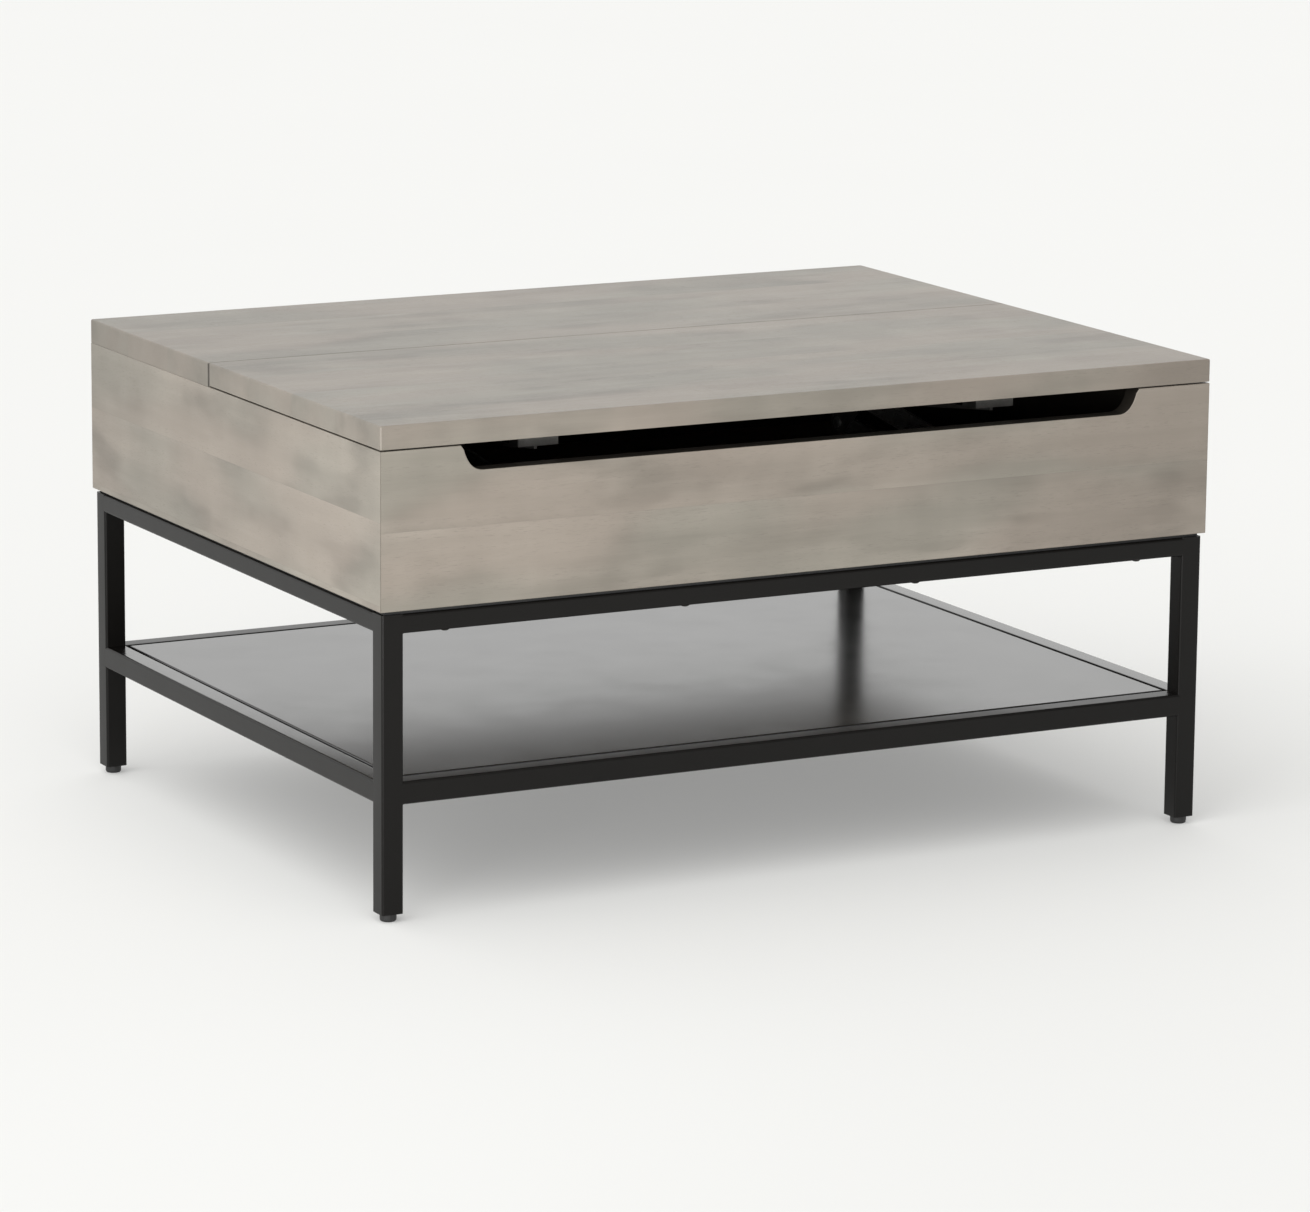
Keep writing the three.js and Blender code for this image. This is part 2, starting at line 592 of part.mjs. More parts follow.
/** Both linkages, each between a batten under the top and a bracket on the floor of the box. */
function addMechanism() {
  for (const [name, side] of Object.entries(SIDES)) {
    const battenX = onSide(side, [LINKAGE_X - BATTEN_WIDTH / 2, LINKAGE_X + BATTEN_WIDTH / 2]);
    const battenZ = [LID_UNDERSIDE - BATTEN_THICKNESS, LID_UNDERSIDE];
    add(`lid_batten_${name}`, "grey_wood", block(battenX, [MECHANISM_FRONT - 8, TOP_REAR], battenZ));
    add(`base_bracket_${name}`, "zinc_steel", baseBracket(side));
    add(`top_bracket_${name}`, "zinc_steel", topBracket(side));
    add(`main_arm_${name}`, "zinc_steel", mainArm(side));
    add(`follower_arm_${name}`, "zinc_steel", followerArm(side));
    add(`main_base_pin_${name}`, "zinc_steel", pivotPin(side, MAIN_BASE, MAIN_LAYER));
    add(`main_top_pin_${name}`, "zinc_steel", pivotPin(side, MAIN_TOP, MAIN_LAYER));
    add(`follower_base_pin_${name}`, "zinc_steel", pivotPin(side, FOLLOWER_BASE, FOLLOWER_LAYER));
    add(`follower_top_pin_${name}`, "zinc_steel", pivotPin(side, FOLLOWER_TOP, FOLLOWER_LAYER));
    add(`lift_spring_${name}`, "spring_steel", liftSpring(side));
  }
  add("cross_tube", "black_steel", crossTube());
}

addLegs();
addRails();
addFrameScrews();
addShelf();
addWalls();
addBoards();
addBumpers();
addMechanism();

export default table;
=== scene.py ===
import json
import math

import bmesh
import bpy
from mathutils import Matrix, Vector


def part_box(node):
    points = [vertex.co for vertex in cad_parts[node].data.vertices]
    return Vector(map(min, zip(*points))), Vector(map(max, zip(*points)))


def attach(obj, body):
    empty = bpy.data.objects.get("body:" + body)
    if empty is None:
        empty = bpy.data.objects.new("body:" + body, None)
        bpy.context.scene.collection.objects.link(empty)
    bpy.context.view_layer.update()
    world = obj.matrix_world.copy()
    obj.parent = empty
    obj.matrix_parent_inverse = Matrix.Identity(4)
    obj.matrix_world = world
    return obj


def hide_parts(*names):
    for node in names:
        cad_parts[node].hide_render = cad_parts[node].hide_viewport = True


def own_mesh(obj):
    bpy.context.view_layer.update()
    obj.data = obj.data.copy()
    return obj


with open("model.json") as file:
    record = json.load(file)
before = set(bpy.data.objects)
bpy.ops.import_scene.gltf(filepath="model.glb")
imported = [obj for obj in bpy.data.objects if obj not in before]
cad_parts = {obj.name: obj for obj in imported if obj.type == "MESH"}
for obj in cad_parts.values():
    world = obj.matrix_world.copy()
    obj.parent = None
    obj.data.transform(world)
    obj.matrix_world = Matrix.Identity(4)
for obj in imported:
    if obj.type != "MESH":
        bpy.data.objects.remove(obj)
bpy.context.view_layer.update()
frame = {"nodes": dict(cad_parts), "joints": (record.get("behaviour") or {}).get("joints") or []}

MM = 0.001
SIDES = {"left": -1, "right": 1}
ENDS = {"front": -1, "rear": 1}
joint_at = {j["name"]: Vector(j["pos_m"]) for j in frame["joints"] if "pos_m" in j}
lift_angle = math.radians(next(j for j in frame["joints"] if j["name"] == "lift")["range_deg"][1])


# ------------------------------------------------------------------ camera, floor and light

CAMERA_AT = Vector((-2.6598, -5.0485, 1.3897))
CAMERA_TURN = math.radians(-27.94)
CAMERA_TILT = math.radians(11.80)
CAMERA_ROLL = math.radians(0.51)
CAMERA_LENS = 159.0

FLOOR_SIZE = 60.0
FLOOR_GLOW = 0.237
SKY_COLOUR = (1.0, 1.0, 0.99, 1.0)
SKY_BASE = 0.22
# Each glow: the way it lies, the cosines where it starts and is full, and its strength.
SKY_GLOWS = (
    ((0.20, 0.95, 0.22), 0.35, 0.92, 1.00),
    ((-0.48, -0.34, 0.81), 0.36, 1.0, 1.28),
    ((-0.70, -0.62, 0.36), 0.25, 1.0, 0.78),
)
CORNER_LIGHT_AT = (-1.75, -1.75, 0.42)
CORNER_LIGHT_TARGET = (-0.2, -0.2, 0.50)
CORNER_LIGHT_SIZE = (0.8, 0.6)
CORNER_POWER = 2.45
CORNER_SPREAD = 40


def set_camera():
    """A long lens from the front left, a little above the top."""
    right = Vector((math.cos(CAMERA_TURN), math.sin(CAMERA_TURN), 0))
    level = math.cos(CAMERA_TILT)
    ahead = Vector((-math.sin(CAMERA_TURN) * level, math.cos(CAMERA_TURN) * level, -math.sin(CAMERA_TILT)))
    down = ahead.cross(right)
    tilted_right = right * math.cos(CAMERA_ROLL) - down * math.sin(CAMERA_ROLL)
    tilted_down = right * math.sin(CAMERA_ROLL) + down * math.cos(CAMERA_ROLL)
    data = bpy.data.cameras.new("camera")
    data.lens = CAMERA_LENS
    data.sensor_width = 36.0
    data.clip_end = 200.0
    camera = bpy.data.objects.new("camera", data)
    columns = Matrix((tilted_right, -tilted_down, -ahead)).transposed()
    camera.matrix_world = Matrix.Translation(CAMERA_AT) @ columns.to_4x4()
    bpy.context.scene.collection.objects.link(camera)
    bpy.context.scene.camera = camera


def add_area_light(name, at, target, size, power, spread):
    """A soft rectangular light at one point, facing another, with its beam held to one angle."""
    data = bpy.data.lights.new(name, "AREA")
    data.shape = "RECTANGLE"
    data.size, data.size_y = size
    data.energy = power
    data.spread = math.radians(spread)
    light = bpy.data.objects.new(name, data)
    light.location = at
    light.visible_camera = False
    light.rotation_euler = (Vector(target) - Vector(at)).to_track_quat("-Z", "Y").to_euler()
    bpy.context.scene.collection.objects.link(light)


# ------------------------------------------------------------------ shader maths


class Value:
    """One output of a node. Python operators on it add Math nodes to the same tree."""

    def __init__(self, nodes, socket):
        self.nodes = nodes
        self.socket = socket

    def math(self, operation, *others):
        inputs = dict(enumerate((self, *others)))
        return self.nodes.node("Math", {"operation": operation}, inputs)

    def __add__(self, other):
        return self.math("ADD", other)

    def __mul__(self, other):
        return self.math("MULTIPLY", other)

    def __sub__(self, other):
        return self.math("SUBTRACT", other)

    def __rsub__(self, other):
        return self.nodes.node("Math", {"operation": "SUBTRACT"}, {0: other, 1: self})

    def __truediv__(self, other):
        return self.math("DIVIDE", other)

    __radd__ = __add__
    __rmul__ = __mul__

    def floor(self):
        return self.math("FLOOR")

    def above(self, edge, width):
        """0 below the edge and 1 above it, with a smooth step of the given width between them."""
        inputs = {"Value": self, "From Min": edge - width / 2, "From Max": edge + width / 2}
        return self.nodes.node("MapRange", {"interpolation_type": "SMOOTHSTEP"}, inputs)


class Nodes:
    """The nodes of a material or of the sky, added by node()."""

    def __init__(self, owner):
        owner.use_nodes = True
        self.owner = owner
        self.tree = owner.node_tree
        self.tree.nodes.clear()

    def node(self, kind, settings=None, inputs=None, output=0):
        """A node of one kind, with its settings set first and then its sockets' values or links."""
        made = self.tree.nodes.new("ShaderNode" + kind)
        for key, value in (settings or {}).items():
            setattr(made, key, value)
        for key, value in (inputs or {}).items():
            if isinstance(value, Value):
                self.tree.links.new(value.socket, made.inputs[key])
            else:
                made.inputs[key].default_value = value
        return Value(self, made.outputs[output]) if made.outputs else made


class Finish(Nodes):
    """A material under construction, which surface() ends."""

    def __init__(self, name):
        super().__init__(bpy.data.materials.new(name))

    def place(self):
        """The place on the piece, in metres, as three values."""
        at = self.node("TexCoord", output="Object")
        return [self.node("SeparateXYZ", inputs={0: at}, output=i) for i in range(3)]

    def vector(self, x, y, z):
        return self.node("CombineXYZ", inputs={0: x, 1: y, 2: z})

    def noise(self, at, scale=1.0, detail=2.0, roughness=0.5):
        """Smooth noise about 0.5."""
        inputs = {"Vector": at, "Scale": scale, "Detail": detail, "Roughness": roughness}
        return self.node("TexNoise", {"noise_dimensions": "3D"}, inputs)

    def mix(self, amount, first, second):
        """A colour between two colours."""
        return self.node("Mix", {"data_type": "RGBA"}, {0: amount, 6: first, 7: second}, output=2)

    def bump(self, height, distance, strength=1.0):
        inputs = {"Height": height, "Distance": distance, "Strength": strength}
        return self.node("Bump", inputs=inputs, output="Normal")

    def surface(self, **sockets):
        """Ends the finish with a Principled surface. Socket names have _ for a space."""
        inputs = {name.replace("_", " "): value for name, value in sockets.items()}
        shader = self.node("BsdfPrincipled", inputs=inputs)
        self.node("OutputMaterial", inputs={"Surface": shader})
        return self.owner


def rgb(red, green, blue):
    return (red, green, blue, 1.0)


def grey(shade):
    return rgb(shade, shade, shade)


# ------------------------------------------------------------------ finishes


def washed_wood(
    name, grain, lane, seed, lane_width=0.078, lane_start=0.0, colour_scale=1.0, ends=None, joint=None, gloss=0.42
):
    """Grey-washed solid wood. Boards lie side by side along the lane axis and their grain runs along
    the grain axis. Each board has its own tone, soft clouds, cross bands, fine streaks and pores.
    ends is how far out the darker end grain is, and joint where the gap between the two top boards crosses it;
    a painted shadow darkens the end faces along that gap."""
    finish = Finish(name)
    place = finish.place()
    along = place["xyz".index(grain)]
    across = place["xyz".index(lane)]
    third = place[3 - "xyz".index(grain) - "xyz".index(lane)]

    steps = (across - lane_start) / lane_width
    board = steps.floor()
    own = finish.node("TexWhiteNoise", {"noise_dimensions": "1D"}, {"W": board + seed}, output=0)
    shifted = along + own * 7.3 + seed * 1.7
    drift = finish.noise(finish.vector(shifted * 2.2, across * 9.0, third * 9.0), detail=2)
    wander = across + (drift - 0.5) * 0.010

    def figured(lengthways, crossways, detail, roughness=0.5, start=None):
        """Noise with its own scale along the grain and across it."""
        run = shifted * lengthways
        if start is not None:
            run = run + start
        at = finish.vector(run, wander * crossways, third * crossways)
        return finish.noise(at, detail=detail, roughness=roughness)

    clouds = figured(5.0, 16.0, 3, 0.55)
    bands = figured(17.0, 7.0, 2)
    figure = figured(3.5, 75.0, 3, 0.6)
    streaks = figured(14.0, 520.0, 3, 0.6)
    pores = figured(110.0, 2100.0, 1)
    hue = figured(4.0, 11.0, 1, start=31.0)
    haze = figured(7.0, 24.0, 2, start=57.0)

    smoke = haze.above(0.60, 0.14)
    pore_mask = pores.above(0.66, 0.08) * figure.above(0.45, 0.3)
    seam = (steps - board - 0.5).math("ABSOLUTE").above(0.5 - 0.0004 / lane_width, 0.0005 / lane_width)

    tone = 0.5 + (clouds - 0.5) * 1.5 + (bands - 0.5) * 0.80 + (figure - 0.5) * 0.60
    tone = tone + (streaks - 0.5) * 0.22 + (own - 0.5) * 0.16 - smoke * 0.32
    tone = tone.math("MINIMUM", 1.0).math("MAXIMUM", 0.0)
    # The scale on every colour: a little below 1 on the top boards is painted shade that darkens the top; 0.08
    # makes the inner faces near black.
    stain = lambda red, green, blue: rgb(red * colour_scale, green * colour_scale, blue * colour_scale)
    colour = finish.mix(tone, stain(0.158, 0.140, 0.117), stain(0.287, 0.257, 0.218))
    colour = finish.mix(hue.above(0.54, 0.20) * 0.50, colour, stain(0.268, 0.228, 0.192))
    colour = finish.mix((1 - hue.above(0.44, 0.20)) * 0.45, colour, stain(0.214, 0.204, 0.172))
    colour = finish.mix(pore_mask * 0.30, colour, stain(0.110, 0.096, 0.078))
    colour = finish.mix(seam * 0.12, colour, stain(0.120, 0.106, 0.088))
    if ends:
        end_grain = along.math("ABSOLUTE").above(ends - 0.6 * MM, 0.6 * MM)
        colour = finish.mix(end_grain * 0.35, colour, stain(0.150, 0.134, 0.112))
        if joint is not None:
            # Painted shadow: a near-black band on the end faces along the gap between the fixed and lifting
            # tops.
            joint_shadow = 1 - (across - joint).math("ABSOLUTE").above(2.4 * MM, 1.6 * MM)
            colour = finish.mix(end_grain * joint_shadow * 0.85, colour, stain(0.040, 0.036, 0.030))

    height = streaks * 0.5 + figure * 0.3 - pore_mask * 0.8 - seam * 0.7
    return finish.surface(
        Base_Color=colour,
        Roughness=0.43 + (streaks - 0.5) * 0.16 + pore_mask * 0.15,
        Specular_IOR_Level=gloss,
        Normal=finish.bump(height, 0.12 * MM, 0.55),
    )


def stained_plywood():
    """Brown-stained plywood with a broad flowing figure."""
    finish = Finish("stained_plywood")
    x, y, z = finish.place()
    flow = finish.noise(finish.vector(x * 1.6, y * 9.0, z * 9.0), detail=2)
    rings = finish.noise(finish.vector(x * 2.5, (y + flow * 0.05) * 60.0, z * 60.0), detail=3)
    plies = (z * 2 * math.pi / (2.25 * MM)).math("SINE") * 0.5 + 0.5
    tone = rings * 0.7 + plies * 0.15 + 0.1
    colour = finish.mix(tone, rgb(0.14, 0.105, 0.070), rgb(0.23, 0.18, 0.125))
    height = finish.bump(rings, 0.08 * MM, 0.4)
    return finish.surface(Base_Color=colour, Roughness=0.55 + rings * 0.12, Normal=height)


def powder_coat(name, roughness, peel, shade=0.004, gloss=0.21):
    """Black powder coat: a fine orange peel, a few duller patches and a trace of dust."""
    finish = Finish(name)
    x, y, z = finish.place()
    at = finish.vector(x, y, z)
    fine = finish.noise(at, scale=900.0, detail=2)
    broad = finish.noise(at, scale=14.0, detail=3, roughness=0.6)
    dust = finish.noise(at, scale=2600.0, detail=1).above(0.72, 0.06)
    dark = rgb(shade * 0.8, shade * 0.7, shade * 0.6)
    light = rgb(shade * 1.3, shade * 1.15, shade * 1.0)
    colour = finish.mix(broad, dark, light)
    colour = finish.mix(dust * 0.10, colour, grey(0.10))
    return finish.surface(
        Base_Color=colour,
        Roughness=roughness + (broad - 0.5) * 0.10 + (fine - 0.5) * 0.05,
        Specular_IOR_Level=gloss,
        Normal=finish.bump(fine, peel, 0.5),
    )


def zinc_plate(name, tint, roughness, scratch_axis):
    """Bright zinc on rolled steel: cloudy spangle, fine rolling marks and stray scratches."""
    finish = Finish(name)
    place = finish.place()
    stretch = [700.0, 700.0, 700.0]
    stretch["xyz".index(scratch_axis)] = 14.0
    marks = finish.noise(finish.vector(*[p * s for p, s in zip(place, stretch)]), detail=3, roughness=0.7)
    clouds = finish.noise(finish.vector(*place), scale=60.0, detail=3)
    light = rgb(*tint)
    dark = rgb(*[c * 0.62 for c in tint])
    colour = finish.mix((clouds * 0.7 + marks * 0.3).above(0.5, 0.5), dark, light)
    return finish.surface(
        Base_Color=colour,
        Metallic=0.94 + (clouds - 0.5) * 0.1,
        Roughness=roughness + (marks - 0.5) * 0.2 + (clouds - 0.5) * 0.12,
        Normal=finish.bump(marks, 0.03 * MM, 0.5),
    )


def moulded(name, shade, roughness, grain_scale, grain_depth):
    """Dark moulded plastic or rubber with a fine spark-eroded grain."""
    finish = Finish(name)
    at = finish.vector(*finish.place())
    grain = finish.noise(at, scale=grain_scale, detail=2)
    wear = finish.noise(at, scale=90.0, detail=2)
    colour = finish.mix(wear, grey(shade * 0.7), grey(shade * 1.4))
    return finish.surface(
        Base_Color=colour,
        Roughness=roughness + (wear - 0.5) * 0.15,
        Normal=finish.bump(grain, grain_depth, 0.6),
    )


def studio_floor():
    """A plain pale floor that glows a little, as a lit table does, so that shadows stay light."""
    finish = Finish("studio_floor")
    x, y, z = finish.place()
    soft = finish.noise(finish.vector(x, y, z), scale=1.3, detail=2)
    colour = finish.mix(soft, rgb(0.594, 0.594, 0.585), rgb(0.602, 0.602, 0.593))
    return finish.surface(
        Base_Color=colour,
        Roughness=0.9,
        Specular_IOR_Level=0.0,
        Emission_Color=rgb(1.0, 1.0, 0.985),
        Emission_Strength=FLOOR_GLOW,
    )


# ------------------------------------------------------------------ mesh tools


def as_piece(name, bm, finish, body, replaces=(), sharp=35.0):
    """Ends a mesh as a piece of the table: smooth with sharp edges kept, riding on its body."""
    bmesh.ops.recalc_face_normals(bm, faces=bm.faces)
    mesh = bpy.data.meshes.new(name)
    bm.to_mesh(mesh)
    bm.free()
    mesh.polygons.foreach_set("use_smooth", [True] * len(mesh.polygons))
    mesh.set_sharp_from_angle(angle=math.radians(sharp))
    mesh.materials.append(finish)
    obj = bpy.data.objects.new(name, mesh)
    bpy.context.scene.collection.objects.link(obj)
    weighted = obj.modifiers.new("even_faces", "WEIGHTED_NORMAL")
    weighted.keep_sharp = True
    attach(obj, body)
    if replaces:
        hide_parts(*replaces)
    return obj


def dress(node, finish, round_over):
    """Gives a CAD node its finish and breaks its sharp edges."""
    obj = frame["nodes"][node]
    obj.data.materials.clear()
    obj.data.materials.append(finish)
    obj.data.polygons.foreach_set("use_smooth", [True] * len(obj.data.polygons))
    flat = obj.modifiers.new("whole_faces", "DECIMATE")
    flat.decimate_type = "DISSOLVE"
    flat.angle_limit = math.radians(1.0)
    edges = obj.modifiers.new("broken_edges", "BEVEL")
    edges.width = round_over
    edges.segments = 2
    edges.limit_method = "ANGLE"
    edges.angle_limit = math.radians(35.0)
    edges.harden_normals = False
    weighted = obj.modifiers.new("even_faces", "WEIGHTED_NORMAL")
    weighted.keep_sharp = False


def refinish(piece, finish, chosen):
    """Gives the chosen faces of a piece a second finish."""
    piece.data.materials.append(finish)
    for face in piece.data.polygons:
        face.material_index = int(chosen(face))


def bevel_edges(bm, radius, segments=3, chosen=None):
    """Rounds the chosen edges of a mesh, or all of its real corners."""
    bm.normal_update()
    edges = [e for e in bm.edges if len(e.link_faces) == 2 and e.calc_face_angle(0) > math.radians(20)]
    if chosen:
        edges = [e for e in edges if chosen(e)]
    bmesh.ops.bevel(
        bm, geom=edges, offset=radius, offset_type="OFFSET", segments=segments, profile=0.5, affect="EDGES"
    )


def block(low, high, radius, segments=3, chosen=None, bm=None):
    """A rectangular block between two corners, with rounded edges."""
    bm = bm or bmesh.new()
    corners = bmesh.ops.create_cube(bm, size=1.0)["verts"]
    low, high = Vector(low), Vector(high)
    for v in corners:
        v.co = Vector([(a + b) / 2 + c * (b - a) for a, b, c in zip(low, high, v.co)])
    own = set(corners)
    bevel_edges(bm, radius, segments, lambda e: own.issuperset(e.verts) and (chosen is None or chosen(e)))
    return bm


def add_ring(bm, points):
    return [bm.verts.new(p) for p in points]


def bridge(bm, first, second):
    """Faces between two closed rings of the same length."""
    for i in range(len(first)):
        j = (i + 1) % len(first)
        bm.faces.new((first[i], first[j], second[j], second[i]))


def rounded_section(half_u, half_v, radius, steps=4):
    """A rectangular section with rounded corners, as (u, v) points."""
    points = []
    for quarter in range(4):
        middle = math.pi / 4 + quarter * math.pi / 2
        cu = math.copysign(half_u - radius, math.cos(middle))
        cv = math.copysign(half_v - radius, math.sin(middle))
        for i in range(steps + 1):
            angle = quarter * math.pi / 2 + i * math.pi / 2 / steps
            points.append((cu + radius * math.cos(angle), cv + radius * math.sin(angle)))
    return points


AXES = {"x": (1, 2, 0), "y": (2, 0, 1), "z": (0, 1, 2)}


def on_axis(axis, u, v, w):
    """A point from two sizes across an axis and one along it."""
    point = [0.0, 0.0, 0.0]
    for index, value in zip(AXES[axis], (u, v, w)):
        point[index] = value
    return Vector(point)


def square_tube(low, high, axis, corner, wall):
    """A hollow square tube that fills the box between two corners, open at both ends."""
    bm = bmesh.new()
    along = AXES[axis][2]
    middle = (Vector(low) + Vector(high)) / 2
    half_u, half_v = [(high[i] - low[i]) / 2 for i in AXES[axis][:2]]
    centre = [middle[i] for i in AXES[axis][:2]]
    rings = []
    for inset, radius in ((0.0, corner), (wall, max(corner - wall, 0.4 * MM))):
        outline = rounded_section(half_u - inset, half_v - inset, radius)
        for w in (low[along], high[along]):
            rings.append(add_ring(bm, [on_axis(axis, centre[0] + u, centre[1] + v, w) for u, v in outline]))
    bridge(bm, rings[0], rings[1])
    bridge(bm, rings[3], rings[2])
    bridge(bm, rings[2], rings[0])
    bridge(bm, rings[1], rings[3])
    return bm


def turned(profile, base, axis, steps=32, flip=1, bm=None, shape=None):
    """A piece turned about an axis through base, from (radius, height) points. shape(level, angle)
    may change a level's radius, which makes sockets and flats."""
    bm = bm or bmesh.new()
    base = Vector(base)
    previous = None
    for level, (radius, height) in enumerate(profile):
        if radius < 1e-7:
            ring = [bm.verts.new(base + on_axis(axis, 0, 0, flip * height))]
        else:
            ring = []
            for i in range(steps):
                angle = 2 * math.pi * i / steps
                r = radius * (shape(level, angle) if shape else 1.0)
                place = on_axis(axis, r * math.cos(angle), r * math.sin(angle), flip * height)
                ring.append(bm.verts.new(base + place))
        if previous:
            if len(previous) == 1 or len(ring) == 1:
                tip, rim = (previous[0], ring) if len(previous) == 1 else (ring[0], previous)
                for i in range(len(rim)):
                    bm.faces.new((tip, rim[i], rim[(i + 1) % len(rim)]))
            else:
                bridge(bm, previous, ring)
        previous = ring
    return bm


def swept(path, radius, sides=10, bm=None):
    """A round bar along a path of points. radius is a size or a function of the share of the way."""
    bm = bm or bmesh.new()
    path = [Vector(p) for p in path]
    tangent = (path[1] - path[0]).normalized()
    up = Vector((0, 0, 1)) if abs(tangent.z) < 0.9 else Vector((1, 0, 0))
    normal = (up - tangent * up.dot(tangent)).normalized()
    rings = []
    for i, point in enumerate(path):
        ahead = path[min(i + 1, len(path) - 1)] - path[max(i - 1, 0)]
        tangent = ahead.normalized()
        normal = (normal - tangent * normal.dot(tangent)).normalized()
        side = tangent.cross(normal)
        r = radius(i / (len(path) - 1)) if callable(radius) else radius
        turns = [2 * math.pi * k / sides for k in range(sides)]
        rings.append(add_ring(bm, [point + (normal * math.cos(a) + side * math.sin(a)) * r for a in turns]))
    for first, second in zip(rings, rings[1:]):
        bridge(bm, first, second)
    bm.faces.new(rings[0][::-1])
    bm.faces.new(rings[-1])
    return bm


def screw_head(at, axis, flip, radius, height, drive, bm=None):
    """A domed screw head seated at a point, with a hex or a cross recess."""

    def recess(level, angle):
        if level < 6:
            return 1.0
        if drive == "hex":
            sixth = math.pi / 3
            return math.cos(sixth / 2) / math.cos((angle % sixth) - sixth / 2)
        quarter = (angle + math.pi / 4) % (math.pi / 2) - math.pi / 4
        return 1.0 if abs(quarter) < math.radians(16) else 0.42

    mouth = radius * (0.50 if drive == "hex" else 0.56)
    profile = [
        (0.0, 0.0),
        (radius, 0.0),
        (radius, height * 0.22),
        (radius * 0.93, height * 0.52),
        (radius * 0.74, height * 0.84),
        (mouth * 1.12, height),
        (mouth, height),
        (mouth * 0.94, height * 0.30),
        (0.0, height * 0.24),
    ]
    return turned(profile, at, axis, steps=24, flip=flip, bm=bm, shape=recess)


# ------------------------------------------------------------------ steel frame

TUBE_CORNER = 2.5 * MM
TUBE_WALL = 1.6 * MM
PLUG_CORNER = 1.6 * MM
PLUG_WALL = 4.6 * MM
# The legs and rails stop this far under the box; the black strip set back in that gap is painted shade for the
# shadow line.
SHADOW_GAP = 3.5 * MM
SHADOW_STRIP_SETBACK = 3.0 * MM
BEAD_RADIUS = 1.5 * MM
BEAD_SHORT_OF_END = 2.2 * MM
STUD_PITCH = 1.25 * MM
STUD_ROOT = 3.3 * MM
STUD_CREST = 3.95 * MM
SIDE_SCREWS_AT = (-0.22, 0.0, 0.22)


def build_frame(coat, gloss, plastic, zinc, socket_head):
    """Tubes with rounded corners, weld beads where they meet, plugs and levelling feet. The upper
    faces of the shelf's side rails are as smooth as the shelf."""
    for end in ENDS:
        for side in SIDES:
            corner = f"{end}_{side}"
            leg = f"leg_{corner}"
            low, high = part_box(leg)
            high = Vector(high) - Vector((0, 0, SHADOW_GAP))
            tube = square_tube(low, high, "z", TUBE_CORNER, TUBE_WALL)
            as_piece(f"{leg}_tube", tube, coat, "root", [leg])
            build_welds(corner, coat)
            build_plug(corner, plastic)
            build_foot(corner, plastic, zinc)
    for ring in ("top_rail", "shelf_rail"):
        for name in (*ENDS, *SIDES):
            rail = f"{ring}_{name}"
            axis = "x" if name in ENDS else "y"
            into_legs = on_axis(axis, 0, 0, TUBE_CORNER)
            low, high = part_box(rail)
            low, high = Vector(low) - into_legs, Vector(high) + into_legs
            if ring == "top_rail":
                high.z -= SHADOW_GAP
            tube = square_tube(low, high, axis, TUBE_CORNER, TUBE_WALL)
            piece = as_piece(f"{rail}_tube", tube, coat, "root", [rail])
            if ring == "shelf_rail" and name in SIDES:
                refinish(piece, gloss, lambda f: f.normal.z > 0.9)
    build_frame_screws(socket_head)


def build_welds(corner, coat):
    """Beads in the inner corners between a leg and its four rails. The outer faces are ground flush."""
    end, side = corner.split("_")
    leg_low, leg_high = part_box(f"leg_{corner}")
    inner_x = leg_high.x if SIDES[side] < 0 else leg_low.x
    inner_y = leg_high.y if ENDS[end] < 0 else leg_low.y
    bm = bmesh.new()
    bead = lambda t: BEAD_RADIUS * (1 + 0.14 * math.sin(t * 50)) * min(1.0, 6 * t + 0.4, 6 * (1 - t) + 0.4)
    steps = 44
    for ring in ("top_rail", "shelf_rail"):
        low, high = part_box(f"{ring}_{end}")
        back = high.y if ENDS[end] < 0 else low.y
        lines = [
            ((inner_x, back, low.z), (inner_x, back, high.z)),
            ((inner_x, low.y, low.z), (inner_x, high.y, low.z)),
        ]
        low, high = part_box(f"{ring}_{side}")
        lines.append(((low.x, inner_y, low.z), (high.x, inner_y, low.z)))
        for start, stop in lines:
            start, stop = Vector(start), Vector(stop)
            way = (stop - start).normalized() * BEAD_SHORT_OF_END
            start, stop = start + way, stop - way
            path = [start.lerp(stop, i / steps) for i in range(steps + 1)]
            swept(path, bead, sides=8, bm=bm)
    as_piece(f"weld_beads_{corner}", bm, coat, "root", sharp=60)


def build_plug(corner, plastic):
    """A thick-walled square plug in the lower end of a leg."""
    low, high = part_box(f"leg_plug_{corner}")
    bm = square_tube(low, high, "z", PLUG_CORNER, PLUG_WALL)
    as_piece(f"leg_insert_{corner}", bm, plastic, "root", [f"leg_plug_{corner}"])


